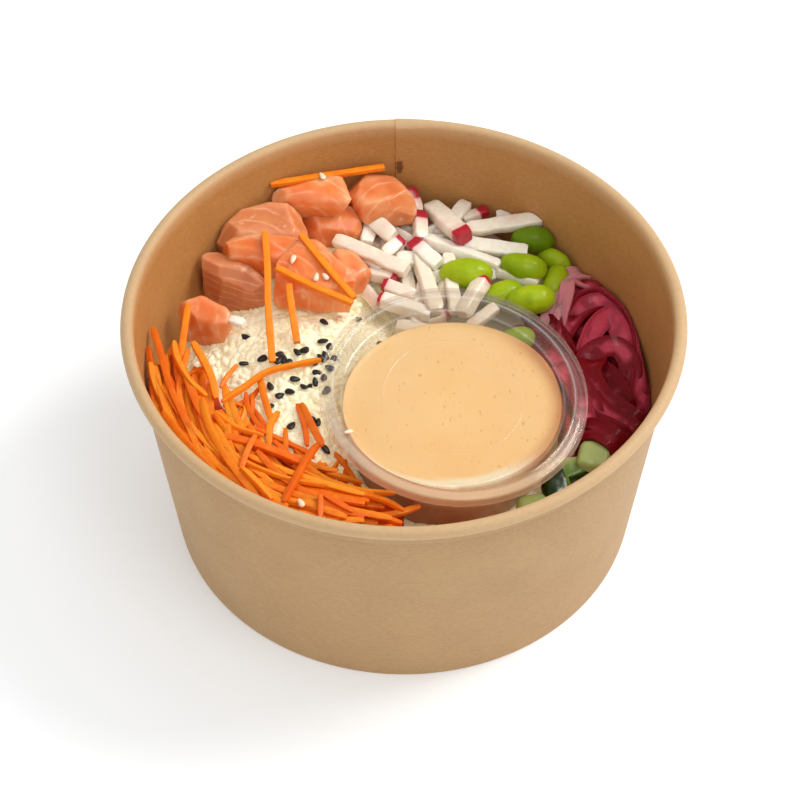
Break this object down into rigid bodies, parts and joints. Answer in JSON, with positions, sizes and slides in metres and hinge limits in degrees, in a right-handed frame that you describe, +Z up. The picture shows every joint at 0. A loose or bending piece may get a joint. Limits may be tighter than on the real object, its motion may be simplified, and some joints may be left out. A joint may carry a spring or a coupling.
{
  "type": "poke bowl",
  "caption": "Round kraft-paper bowl of rice topped with salmon, edamame, radish, pickled onion, cucumber and carrot, with a lidded clear cup of sauce.",
  "frame": {"origin": "on the table under the middle of the bowl's foot ring", "axes": "+Z up, +X to the right and -Y towards the person eating"},
  "size_m": [0.15, 0.15, 0.075],
  "materials": {
    "kraft_paper": "matte",
    "clear_plastic": "gloss",
    "dressing": "satin",
    "rice": "satin",
    "salmon": "satin",
    "carrot": "satin",
    "radish": "satin",
    "edamame": "satin",
    "onion": "gloss",
    "cucumber": "satin"
  },
  "bodies": {
    "root": {"paper_bowl": "kraft_paper", "sauce_cup": "clear_plastic", "sauce_lid": "clear_plastic", "sauce": "dressing", "rice": "rice", "carrot_shreds": "carrot", "radish_sticks": "radish", "pickled_onion": "onion", "salmon_1": "salmon", "salmon_2": "salmon", "salmon_3": "salmon", "salmon_4": "salmon", "salmon_5": "salmon", "salmon_6": "salmon", "salmon_7": "salmon", "salmon_8": "salmon", "salmon_9": "salmon", "edamame_1": "edamame", "edamame_2": "edamame", "edamame_3": "edamame", "edamame_4": "edamame", "edamame_5": "edamame", "edamame_6": "edamame", "edamame_7": "edamame", "cucumber_1": "cucumber", "cucumber_2": "cucumber", "cucumber_3": "cucumber", "cucumber_4": "cucumber", "carrot_1": "carrot", "carrot_2": "carrot", "carrot_3": "carrot", "carrot_4": "carrot", "carrot_5": "carrot"}
  },
  "joints": []
}
